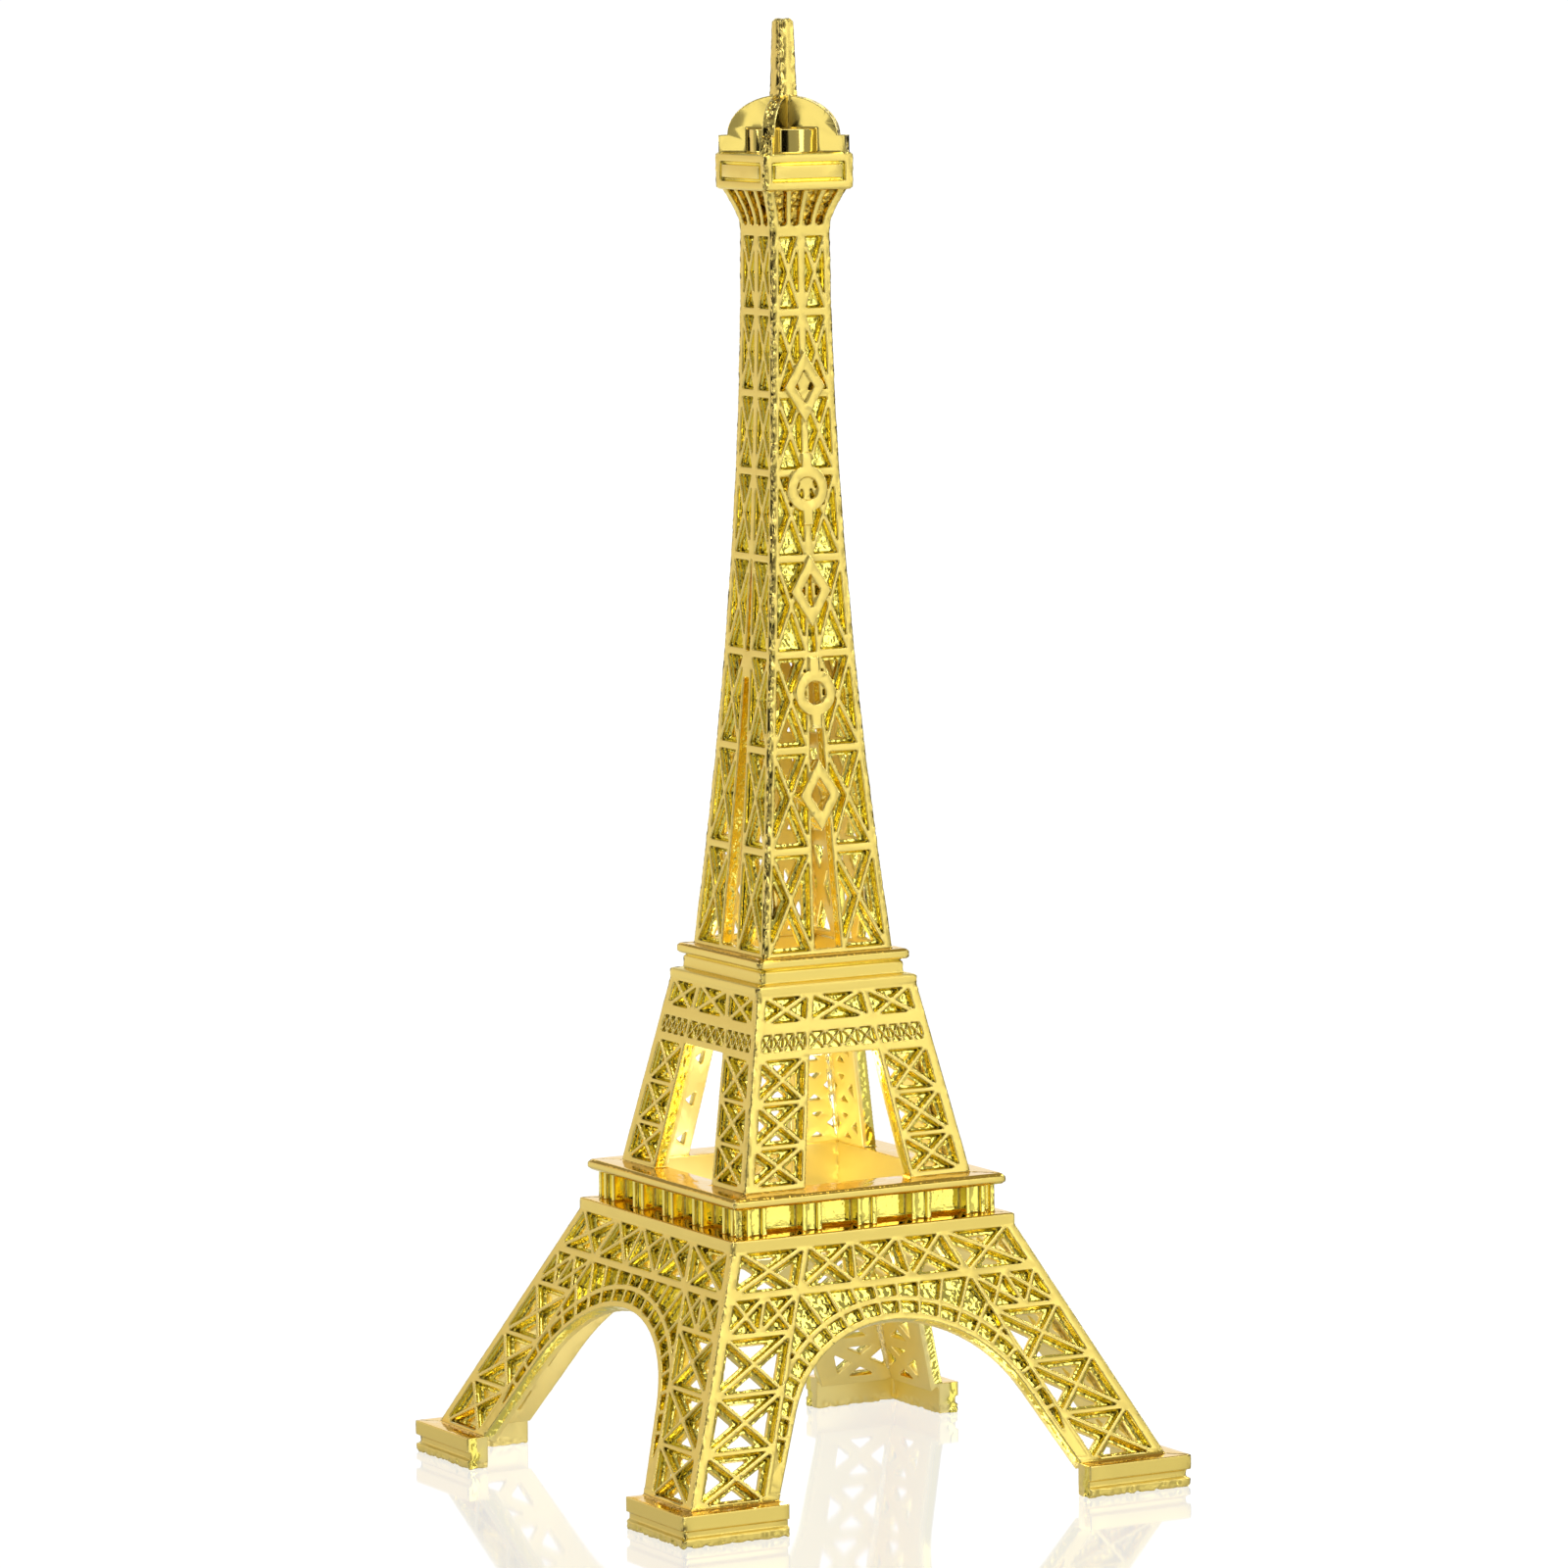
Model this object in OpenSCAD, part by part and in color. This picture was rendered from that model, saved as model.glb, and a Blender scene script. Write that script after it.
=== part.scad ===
// Souvenir model of an iron lattice tower, plated in gold.
// Four cast panels stand from the ground to the tip of the spire. They are mitred along the
// diagonals of the plan and held together by beads of solder run down the inside corners.
// Millimetres. The origin is on the ground at the middle of the footprint, +Z is up and the
// front panel faces -Y.

/* [Heights] */
// Height from the ground to the tip of the spire
tower_h = 180; // [179:0.5:182]
// Height of the foot blocks
foot_h = 4; // [3.6:0.1:4.4]
// Underside of the first platform
deck1_z = 32; // [31.8:0.1:32.2]
// Top of the first platform
waist_z = 38.2; // [38:0.1:38.4]
// Underside of the second platform
deck2_z = 61.5; // [61.3:0.1:61.7]
// Top of the second platform, where the shaft starts
shaft_z = 65.8; // [65.7:0.1:66]
// Top of the lattice shaft
neck_z = 154; // [153.8:0.1:154.2]
// Underside of the square cap
cap_z = 159.2; // [159.1:0.1:159.5]
// Top of the square cap
crown_z = 163.7; // [163.5:0.1:163.8]

/* [Half widths] */
// Outside of the foot blocks
foot_w = 35.5; // [35.3:0.1:36]
// Legs where they stand on the foot blocks
leg_w = 33.2; // [33:0.1:33.4]
// Legs under the first platform
leg_top_w = 19.8; // [19.7:0.1:19.9]
// Waist above the first platform
waist_w = 15.9; // [15.8:0.1:16]
// Waist under the second platform
waist_top_w = 11.2; // [11.1:0.1:11.3]
// Foot of the shaft
shaft_w = 9.05; // [8.9:0.05:9.1]
// Neck, the narrowest part of the shaft
neck_w = 4.06; // [4:0.02:4.12]
// Square cap
cap_w = 6.2; // [6.1:0.05:6.3]

/* [Casting] */
// Whole thickness of a panel
panel_t = 1.9; // [1.8:0.1:2]
// Height of the lattice bars above the back plate
relief = 0.9; // [0.8:0.05:1]
// Width of a lattice bar along its top
bar_top = 0.5; // [0.45:0.05:0.55]
// Width of a lattice bar at its foot
bar_foot = 0.78; // [0.7:0.02:0.86]
// Distance from a bar's middle to the edge of the hole beside it
hole_margin = 0.8; // [0.75:0.05:0.9]
// Width of a solder bead along each wall that it wets
bead_w = 0.8; // [0.7:0.1:1]

/* [Arch] */
// Radius of the arch opening, in the plane of the legs
arch_r = 17.8; // [17.6:0.1:18]
// Height of the arch's centre up the slope from the foot blocks
arch_up = 2.9; // [2.8:0.1:3]
// Outer radius of the ring round the arch
ring_r = 20.7; // [20.6:0.1:20.8]
// Angle between two ribs of the ring
rib_step = 8; // [7:1:9]

/* [Ornaments] */
// Height of each raised ornament on the front and back
ornament_h = 8.8; // [8:0.2:9]
// Height of the lowest ornament's middle
ornament_z = 85.2; // [85:0.1:85.6]
// Height from one ornament to the next
ornament_pitch = 12.5; // [12.3:0.1:12.7]

/* [Hidden] */
$fn = 96;

GOLD = [0.93, 0.78, 0.30];
JOIN = 0.15;            // how far stacked stretches of wall run into each other
SPILL = 3;              // how far a wall runs past its mitre before it is cut
BIG = 60;

// Sloping stretches of wall: [bottom height, bottom half width, top height, top half width]
LEG = [foot_h, leg_w, deck1_z, leg_top_w];
WAIST = [waist_z, waist_w, deck2_z, waist_top_w];

// The shaft is a stack of flat stretches, one for each storey of its lattice
STOREYS = [shaft_z, 78.5, 90.8, 102.5, 114.2, 124.7, 134.3, 144.3, neck_z];
SLOT_STOREYS = 3;       // storeys with an open slot between the two columns
function shaft_half(z) =
    neck_w + (shaft_w - neck_w) * pow((neck_z - z) / (neck_z - shaft_z), 1.85);
function storey(i) = [STOREYS[i], shaft_half(STOREYS[i]), STOREYS[i + 1], shaft_half(STOREYS[i + 1])];
function slot_w(z) = max(0, 3.8 - 0.075 * (z - shaft_z));

// ---- Geometry of a sloping wall: u runs across it, v up it and n out of it ----
function lean(s) = atan2(s[1] - s[3], s[2] - s[0]);
function slope_len(s) = norm([s[1] - s[3], s[2] - s[0]]);
function half_at(s, v) = s[1] - v * sin(lean(s));
function height_at(s, v) = s[0] + v * cos(lean(s));
// Point in the left half, "inset" in from the corner
function at(s, v, inset) = [inset - half_at(s, v), v];
// Four-sided field between two levels, its sides at these insets from the corner
function field(s, v0, v1, a, b) = [at(s, v0, a), at(s, v0, b), at(s, v1, b), at(s, v1, a)];
// The same field in the other half
function flip(q) = [for (i = [3:-1:0]) [-q[i][0], q[i][1]]];
function both(list) = concat(list, [for (q = list) flip(q)]);

// Where a field's diagonals cross
function middle(q) =
    q[0] + (q[2] - q[0]) * cross(q[1] - q[0], q[3] - q[1]) / cross(q[2] - q[0], q[3] - q[1]);
function radius_in(t) =
    abs(cross(t[1] - t[0], t[2] - t[0])) / (norm(t[1] - t[2]) + norm(t[2] - t[0]) + norm(t[0] - t[1]));
function centre_in(t) =
    let (a = norm(t[1] - t[2]), b = norm(t[2] - t[0]), c = norm(t[0] - t[1]))
    (a * t[0] + b * t[1] + c * t[2]) / (a + b + c);
// A triangle with its sides moved in by m
function shrink(t, m) =
    let (c = centre_in(t), k = 1 - m / radius_in(t)) [for (p = t) c + (p - c) * k];
// The four triangles that an X leaves in a field
function crossed(q) = [for (i = [0:3]) [q[i], q[(i + 1) % 4], middle(q)]];

module triangles(fields, m) {
    for (q = fields, t = crossed(q)) if (radius_in(t) > m + 0.08) polygon(shrink(t, m));
}

module on_wall(s) {
    translate([0, -s[1], s[0]]) rotate([90 - lean(s), 0, 0]) children();
}

module layer(low, high) {
    translate([0, 0, low]) linear_extrude(height = high - low) children();
}

module wall_outline(s) {
    polygon([
        [-half_at(s, -JOIN) - SPILL, -JOIN], [half_at(s, -JOIN) + SPILL, -JOIN],
        [half_at(s, slope_len(s) + JOIN) + SPILL, slope_len(s) + JOIN],
        [-half_at(s, slope_len(s) + JOIN) - SPILL, slope_len(s) + JOIN]
    ]);
}

// A lattice wall: back plate with holes, then bars that narrow in two steps.
// child 0 is cut from the whole wall and child 1 from the bars alone.
module lattice_wall(s, fields, holed, t = panel_t) {
    on_wall(s) {
        layer(-t, -relief) difference() {
            wall_outline(s);
            triangles(holed, hole_margin);
            children(0);
        }
        layer(-relief, -relief / 2) difference() {
            wall_outline(s);
            triangles(fields, bar_foot / 2);
            children(0);
            children(1);
        }
        layer(-relief / 2, 0) difference() {
            wall_outline(s);
            triangles(fields, bar_top / 2);
            children(0);
            children(1);
        }
    }
}

// A horizontal moulding: its outline is [distance from the axis, height] all round
module moulding(outline, length = 2 * BIG) {
    rotate([0, 0, -90]) rotate([90, 0, 0]) linear_extrude(height = length, center = true)
        polygon(outline);
}

// ---- Foot blocks ----
FOOT_LEN = 14.5;
FOOT_T = 2.9;
module feet() {
    outline = [
        [foot_w - FOOT_T, 0], [foot_w - 0.3, 0], [foot_w, 0.35], [foot_w, 1.05],
        [foot_w - 0.45, 1.3], [foot_w - 0.45, 2.05], [foot_w, 2.2], [foot_w, foot_h],
        [foot_w - FOOT_T, foot_h]
    ];
    for (side = [-1, 1])
        translate([side * (foot_w - FOOT_LEN / 2 + SPILL / 2), 0, 0])
            moulding(outline, FOOT_LEN + SPILL);
}

// ---- Legs and arch ----
LEG_BAYS = [0.2, 6.5, 13.4, 20.5];    // levels of the legs' cross bars, up the slope
BAND_LOW = 25;                        // the flat band above the arch
BAND_HIGH = 25.6;
STRIP = 1.08;                         // flat strip down each corner
LEG_SPAN = 10.17;                     // from the corner to the leg's inner rail
RAIL = 0.33;
RING_RIB = 0.65;
LIP = 0.75;
WEB_STEP = 0.06;      // the ring and its web stand this far behind the face of the legs
GIRDER_TOP = 31;

rail_in = LEG_SPAN + RAIL;
rail_lean = lean(LEG);
function rail_half(v) = half_at(LEG, v) - rail_in;
leg_fields = [for (i = [0:2]) field(LEG, LEG_BAYS[i], LEG_BAYS[i + 1], STRIP, LEG_SPAN)];
small_fields = [for (i = [0:1])
    field(LEG, LEG_BAYS[3] + 0.1, BAND_LOW + 0.25, STRIP + i * (LEG_SPAN - STRIP) / 2,
        STRIP + (i + 1) * (LEG_SPAN - STRIP) / 2)];
girder_corner = field(LEG, BAND_HIGH, GIRDER_TOP, STRIP, LEG_SPAN);
girder_middle = [for (i = [-1:1]) let (a = 2 * i - 1, b = 2 * i + 1)
    [[a * rail_half(BAND_HIGH) / 3, BAND_HIGH], [b * rail_half(BAND_HIGH) / 3, BAND_HIGH],
        [b * rail_half(GIRDER_TOP) / 3, GIRDER_TOP], [a * rail_half(GIRDER_TOP) / 3, GIRDER_TOP]]];

// The opening: a round arch whose sides run on straight down, beside the inner rails
module arch_opening(r) {
    tangent = [r * cos(rail_lean), arch_up + r * sin(rail_lean)];
    drop = tangent[1] + 2 * JOIN;
    foot = tangent[0] + drop * tan(rail_lean);
    translate([0, arch_up]) circle(r);
    polygon([[-tangent[0], tangent[1]], [-foot, tangent[1] - drop], [foot, tangent[1] - drop], tangent]);
}

// All that lies between the two inner rails, up to the flat band
module between_rails() {
    polygon([
        [-rail_half(0.8), 0.8], [rail_half(0.8), 0.8],
        [rail_half(BAND_LOW), BAND_LOW], [-rail_half(BAND_LOW), BAND_LOW]
    ]);
}

module ring_ribs() {
    for (a = [-10:9])
        translate([0, arch_up]) rotate(90 + (a + 0.5) * rib_step) translate([arch_r, -0.25])
            square([ring_r, 0.5]);
}

// Hollows of the ring, of the spandrels above it and beside the lip
module arch_hollows() {
    difference() {
        intersection() {
            between_rails();
            translate([0, arch_up]) circle(ring_r - RING_RIB);
        }
        arch_opening(arch_r + LIP);
        ring_ribs();
    }
    difference() {
        between_rails();
        translate([0, arch_up]) circle(ring_r);
        polygon([[-BIG, -BIG], [BIG, -BIG], [BIG, arch_up + 6], [-BIG, arch_up + 6]]);
        ring_ribs();
    }
}

module legs() {
    fields = concat(both(concat(leg_fields, small_fields, [girder_corner])), girder_middle);
    holed = concat(both(concat(leg_fields, [girder_corner])), girder_middle);
    difference() {
        lattice_wall(LEG, fields, holed) {
            arch_opening(arch_r);
            arch_hollows();
        }
        on_wall(LEG) layer(-WEB_STEP, 1) between_rails();
    }
}

// ---- First platform ----
PIERS = 5;
PIER_PITCH = 7.7;
PIER_W = 2.7;
POST_W = 0.6;
RIM = 1.3;
module platform_low() {
    lower = leg_top_w + 0.05;
    upper = lower - 0.75;
    front = lower - 1.8;    // front of the piers
    wall = lower - 3.6;     // wall behind them
    inside = waist_w - 2.1;
    low = deck1_z + RIM;
    high = waist_z - RIM;
    moulding([
        [inside + 1.7, deck1_z - 0.6], [lower - 0.6, deck1_z - 0.25], [lower, deck1_z],
        [lower, low - 0.15], [lower - 0.15, low], [wall + 0.4, low + 0.1], [wall, low + 0.5],
        [wall, high - 0.1], [upper - 0.45, high - 0.1], [upper, high + 0.3], [upper, waist_z - 0.4],
        [upper - 0.4, waist_z], [inside, waist_z], [inside, deck1_z + 0.6]
    ]);
    for (i = [-(PIERS - 1) / 2:(PIERS - 1) / 2]) translate([i * PIER_PITCH, 0, low - 0.2]) {
        for (side = [-1, 1])
            translate([side * (PIER_W - POST_W) / 2 - POST_W / 2, -front, 0])
                cube([POST_W, front - wall + 0.3, high - low + 0.4]);
        translate([-PIER_W / 2 + 0.1, 0.5 - front, 0])
            cube([PIER_W - 0.2, front - wall, high - low + 0.4]);
    }
    for (side = [-1, 1]) translate([side * (front - 0.3) - 0.3, -front, low - 0.2])
        cube([0.6, front - wall + 0.3, high - low + 0.4]);
}

// ---- Waist ----
WAIST_STRIP = 1.02;
function column_span(v) = 8.6 - 0.045 * v;   // from the corner to the window's edge
WINDOW_TOP = 16.1;
FINE_LOW = 16.8;
FINE_HIGH = 19.1;
COARSE_LOW = 20.1;
COARSE_HIGH = 23.7;
WAIST_BAYS = [0.4, 5.3, 10.6, WINDOW_TOP];
WAIST_RAIL = 0.44;
waist_fields = [for (i = [0:2]) let (a = WAIST_BAYS[i], b = WAIST_BAYS[i + 1])
    [at(WAIST, a, WAIST_STRIP), at(WAIST, a, column_span(a) - WAIST_RAIL),
        at(WAIST, b, column_span(b) - WAIST_RAIL), at(WAIST, b, WAIST_STRIP)]];
coarse_corner = field(WAIST, COARSE_LOW, COARSE_HIGH, WAIST_STRIP, column_span(COARSE_LOW) - WAIST_RAIL);
function coarse_half(v) = half_at(WAIST, v) - column_span(COARSE_LOW);
coarse_middle = [[-coarse_half(COARSE_LOW), COARSE_LOW], [coarse_half(COARSE_LOW), COARSE_LOW],
    [coarse_half(COARSE_HIGH), COARSE_HIGH], [-coarse_half(COARSE_HIGH), COARSE_HIGH]];

// Fine trellis over the window: four small crosses over each column and over the window
TRELLIS = 4;
module trellis() {
    inner_low = coarse_half(FINE_LOW);
    inner_high = coarse_half(FINE_HIGH);
    outer_low = half_at(WAIST, FINE_LOW) - WAIST_STRIP;
    outer_high = half_at(WAIST, FINE_HIGH) - WAIST_STRIP;
    spans = [
        [-outer_low, -inner_low - WAIST_RAIL, -outer_high, -inner_high - WAIST_RAIL],
        [-inner_low, inner_low, -inner_high, inner_high],
        [inner_low + WAIST_RAIL, outer_low, inner_high + WAIST_RAIL, outer_high]
    ];
    for (s = spans, i = [0:TRELLIS - 1]) {
        a = i / TRELLIS;
        b = (i + 1) / TRELLIS;
        triangles([[
            [s[0] + (s[1] - s[0]) * a, FINE_LOW], [s[0] + (s[1] - s[0]) * b, FINE_LOW],
            [s[2] + (s[3] - s[2]) * b, FINE_HIGH], [s[2] + (s[3] - s[2]) * a, FINE_HIGH]
        ]], 0.07);
    }
}

module waist() {
    window_low = half_at(WAIST, 0) - column_span(0);
    window_high = half_at(WAIST, WINDOW_TOP) - column_span(WINDOW_TOP);
    lattice_wall(WAIST, concat(both(concat(waist_fields, [coarse_corner])), [coarse_middle]),
        both(waist_fields)) {
        polygon([[-window_low - 0.3, -1], [window_low + 0.3, -1], [window_high, WINDOW_TOP],
            [-window_high, WINDOW_TOP]]);
        trellis();
    }
}

// ---- Second platform ----
module platform_high() {
    rim = waist_top_w + 0.05;
    frieze = rim - 1.25;
    ledge = rim - 0.68;
    groove = deck2_z + 2.7;
    moulding([
        [rim - 2.2, deck2_z - 0.3], [rim - 0.3, deck2_z - 0.15], [rim, deck2_z + 0.15],
        [rim, deck2_z + 0.95], [rim - 0.2, deck2_z + 1.15], [frieze, deck2_z + 1.25],
        [frieze, groove], [frieze - 0.25, groove], [frieze - 0.25, groove + 0.25],
        [ledge - 0.3, groove + 0.3], [ledge, groove + 0.6], [ledge, shaft_z - 0.3],
        [ledge - 0.3, shaft_z], [shaft_w - panel_t, shaft_z], [shaft_w - panel_t, deck2_z + 1.2]
    ]);
}

// ---- Shaft ----
SHAFT_STRIP = 0.68;
SHAFT_RAIL = 0.23;
SHAFT_T = 1.7;
CROSS_BAR = 0.2;        // half the width of a storey's cross bar

function shaft_field(s) =
    let (v0 = CROSS_BAR, v1 = slope_len(s) - CROSS_BAR,
        c0 = slot_w(height_at(s, v0)) / 2 + SHAFT_RAIL, c1 = slot_w(height_at(s, v1)) / 2 + SHAFT_RAIL)
    [at(s, v0, SHAFT_STRIP), [-c0, v0], [-c1, v1], at(s, v1, SHAFT_STRIP)];

module slot(s, from, to) {
    a = slot_w(height_at(s, from)) / 2;
    b = slot_w(height_at(s, to)) / 2;
    polygon([[-a, from], [a, from], [b, to], [-b, to]]);
}

module shaft() {
    for (i = [0:len(STOREYS) - 2]) {
        s = storey(i);
        fields = both([shaft_field(s)]);
        lattice_wall(s, fields, i < SLOT_STOREYS ? fields : [], SHAFT_T) {
            if (i < SLOT_STOREYS)
                slot(s, i == 0 ? 0.6 : -JOIN,
                    i == SLOT_STOREYS - 1 ? slope_len(s) - 3 : slope_len(s) + JOIN);
            if (i >= SLOT_STOREYS && slot_w(STOREYS[i + 1]) > 0)
                slot(s, CROSS_BAR, slope_len(s) - CROSS_BAR);
        }
    }
}

// Raised ornaments up the middle of the shaft: lozenges and rings in turn
STROKE = 1.35;
module lozenge(h, w) {
    polygon([[0, -h / 2], [w / 2, 0], [0, h / 2], [-w / 2, 0]]);
}

module ornament(i, w) {
    if (i % 2 == 0) difference() {
        lozenge(ornament_h, w);
        lozenge(ornament_h - 3.4 * STROKE, w - 2.2 * STROKE);
    }
    else {
        difference() {
            circle(d = w);
            circle(d = w - 2 * STROKE);
        }
        for (side = [-1, 1])
            translate([-STROKE / 2, side > 0 ? w / 2 - STROKE / 2 : -ornament_h / 2])
                square([STROKE, ornament_h / 2 - w / 2 + STROKE / 2]);
    }
}

module ornaments() {
    for (i = [0:4]) {
        z = ornament_z + i * ornament_pitch;
        low = z - ornament_h / 2;
        high = z + ornament_h / 2;
        s = [low, shaft_half(low), high, shaft_half(high)];
        on_wall(s) layer(-SHAFT_T, 0.3) translate([0, slope_len(s) / 2])
            ornament(i, min(5.6, 2 * shaft_half(z) - 2 * SHAFT_STRIP - 1.2));
    }
}

// ---- Neck and cap ----
FLARE = 1.55;           // how far the neck spreads under the cap
FLUTES = 4;             // hollows up each side of the neck
FLUTE_DEPTH = 0.9;
NECK_RIB = 0.6;
NECK_BAND = 0.9;        // plain band below the hollows
NECK_STEPS = 6;
function neck_half(k) = neck_w + FLARE * (1 - cos(90 * k));
function neck_height(k) = neck_z + (cap_z - neck_z) * k;
function flute_at(i, k) = (2 * i / FLUTES - 1) * (neck_half(k) - 0.75);

module flute(i) {
    low = (NECK_BAND + 0.5) / (cap_z - neck_z);
    steps = concat([low], [for (j = [2:NECK_STEPS]) j / NECK_STEPS], [1.2]);
    left = [for (k = steps) [flute_at(i, min(k, 1)) + NECK_RIB / 2, neck_height(k)]];
    right = [for (k = steps) [flute_at(i + 1, min(k, 1)) - NECK_RIB / 2, neck_height(k)]];
    polygon(concat(left, [for (j = [len(right) - 1:-1:0]) right[j]]));
    translate((left[0] + right[0]) / 2) circle(d = norm(right[0] - left[0]));
}

module neck() {
    steps = [for (i = [0:NECK_STEPS]) i / NECK_STEPS];
    inside = [[neck_w - SHAFT_T, cap_z], [neck_w - SHAFT_T, neck_z - JOIN]];
    core = [for (k = steps) [neck_half(k) - FLUTE_DEPTH, neck_height(k)]];
    skin = [for (k = steps) [neck_half(k), neck_height(k)]];
    moulding(concat([[neck_w - FLUTE_DEPTH, neck_z - JOIN]], core, inside));
    difference() {
        moulding(concat([[neck_w, neck_z - JOIN]], skin, inside));
        rotate([90, 0, 0]) linear_extrude(height = BIG) for (i = [0:FLUTES - 1]) flute(i);
    }
}

module cap() {
    difference() {
        moulding([
            [0, cap_z], [cap_w - 0.25, cap_z], [cap_w, cap_z + 0.25], [cap_w, crown_z - 0.25],
            [cap_w - 0.25, crown_z], [0, crown_z]
        ]);
        for (z = [cap_z + 1.05, crown_z - 1.45])
            translate([1.1 - cap_w, -cap_w - 1, z]) cube([2 * cap_w - 2.2, 1.4, 0.4]);
        for (side = [-1, 1])
            translate([side * (cap_w - 1.3) - 0.2, -cap_w - 1, cap_z + 1.05])
                cube([0.4, 1.4, crown_z - cap_z - 2.1]);
    }
}

// ---- Crown: drum, diagonal fins and spire ----
DRUM_R = 4.55;
DRUM_H = 2.9;
FIN_T = 1.6;
FIN_STEP_R = 8.1;
FIN_STEP_H = 2.1;
FIN_RX = 7;
FIN_RZ = 4.9;
module fins() {
    for (side = [-1, 1])
        rotate([0, 0, -90 + side * 45]) rotate([90, 0, 0])
            linear_extrude(height = FIN_T, center = true) {
                translate([0, crown_z - 0.2]) square([FIN_STEP_R, FIN_STEP_H + 0.2]);
                intersection() {
                    translate([0, crown_z + FIN_STEP_H]) scale([FIN_RX, FIN_RZ]) circle(1);
                    translate([0, crown_z]) square([BIG, BIG]);
                }
            }
}

SPIRE_ROOT_Z = crown_z + DRUM_H - 0.2;
SPIRE_KNEE_Z = 170.4;
SPIRE_W = 1.25;
SPIRE_TIP_W = 1;
module spire() {
    stretches = [
        [SPIRE_ROOT_Z, 0.85, SPIRE_KNEE_Z, SPIRE_W],
        [SPIRE_KNEE_Z, SPIRE_W, tower_h - 0.35, SPIRE_TIP_W],
        [tower_h - 0.35, SPIRE_TIP_W, tower_h, 0.7]
    ];
    for (s = stretches)
        moulding([[0, s[0]], [s[1], s[0]], [s[3], s[2]], [0, s[2]]]);
}

module crown() {
    translate([0, 0, crown_z - 0.2]) cylinder(r = DRUM_R, h = DRUM_H + 0.2);
    fins();
    spire();
}

// ---- One whole panel, cut along the two mitres ----
module panel(ornamented) {
    color(GOLD) intersection() {
        union() {
            feet();
            legs();
            platform_low();
            waist();
            platform_high();
            shaft();
            if (ornamented) ornaments();
            neck();
            cap();
            crown();
        }
        linear_extrude(height = tower_h) polygon([[0, 0], [-BIG, -BIG], [BIG, -BIG]]);
    }
}

// ---- Solder: a bead of triangular section down an inside corner ----
function inner(s, z, t) = half_at(s, (z - s[0]) / cos(lean(s))) - t / cos(lean(s));
module bead(s, low, high, t) {
    ends = [for (z = [low, high]) let (w = inner(s, z, t))
        each [[-w, -w, z], [bead_w - w, -w, z], [-w, bead_w - w, z]]];
    color(GOLD) polyhedron(points = ends,
        faces = [[0, 1, 2], [5, 4, 3], [0, 3, 4, 1], [1, 4, 5, 2], [2, 5, 3, 0]]);
}

module leg_bead(turn) rotate([0, 0, turn]) bead(LEG, foot_h + 0.6, deck1_z - 1.2, panel_t);
module waist_bead(turn) rotate([0, 0, turn]) bead(WAIST, waist_z + 0.8, deck2_z - 1, panel_t);
module shaft_bead(turn) rotate([0, 0, turn]) bead(storey(0), shaft_z + 1, STOREYS[1] - 1, SHAFT_T);

panel(true);  // panel_front
rotate([0, 0, 90]) panel(false);  // panel_right
rotate([0, 0, 180]) panel(true);  // panel_back
rotate([0, 0, 270]) panel(false);  // panel_left
leg_bead(0);  // solder_leg_front_left
leg_bead(90);  // solder_leg_front_right
leg_bead(180);  // solder_leg_back_right
leg_bead(270);  // solder_leg_back_left
waist_bead(0);  // solder_waist_front_left
waist_bead(90);  // solder_waist_front_right
waist_bead(180);  // solder_waist_back_right
waist_bead(270);  // solder_waist_back_left
shaft_bead(0);  // solder_shaft_front_left
shaft_bead(90);  // solder_shaft_front_right
shaft_bead(180);  // solder_shaft_back_right
shaft_bead(270);  // solder_shaft_back_left
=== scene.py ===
"""Looks of a gold-plated souvenir tower: four cast panels and the solder beads that join them."""

import math

import bmesh
import bpy
import numpy as np
from mathutils import Matrix, Quaternion, Vector


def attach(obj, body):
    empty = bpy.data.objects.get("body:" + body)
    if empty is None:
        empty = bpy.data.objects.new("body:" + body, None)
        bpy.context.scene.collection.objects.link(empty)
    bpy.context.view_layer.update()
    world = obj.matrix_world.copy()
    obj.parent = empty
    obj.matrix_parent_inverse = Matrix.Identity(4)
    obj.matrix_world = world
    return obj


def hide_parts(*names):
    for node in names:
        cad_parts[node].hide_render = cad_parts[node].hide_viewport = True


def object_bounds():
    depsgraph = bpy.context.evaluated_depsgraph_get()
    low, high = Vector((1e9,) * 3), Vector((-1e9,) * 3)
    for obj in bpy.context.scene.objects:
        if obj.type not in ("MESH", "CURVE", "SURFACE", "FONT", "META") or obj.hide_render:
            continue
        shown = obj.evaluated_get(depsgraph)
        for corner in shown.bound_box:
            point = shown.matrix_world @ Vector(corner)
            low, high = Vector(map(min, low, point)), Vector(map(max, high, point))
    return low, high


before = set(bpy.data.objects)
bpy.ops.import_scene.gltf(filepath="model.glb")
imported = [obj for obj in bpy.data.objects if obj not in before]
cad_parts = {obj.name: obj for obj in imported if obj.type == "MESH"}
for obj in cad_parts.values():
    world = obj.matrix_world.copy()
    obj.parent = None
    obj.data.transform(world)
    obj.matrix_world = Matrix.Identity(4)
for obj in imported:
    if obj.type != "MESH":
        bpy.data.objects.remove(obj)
cad_low, cad_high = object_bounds()
MM = 0.001
MIDDLE = Vector((0, 0, cad_high[2] / 2))
TRIANGLES = 420000   # in one finished panel
VOXEL = 0.11         # size of the even faces that a panel is remade with, in millimetres

# Heights above the ground, in millimetres.
FEET_TOP = 4.0
CORNICE_TOP = 33.4   # of the moulding under the first platform
PIERS_FOOT = 33.2
PIERS_TOP = 37.0
PLATFORM_TOP = 38.2
WAIST_TOP = 65.8
CROWN = 163.7        # the cap's top, where the drum and the fins stand
DECKS = (FEET_TOP, CORNICE_TOP, PLATFORM_TOP, WAIST_TOP)

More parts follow.
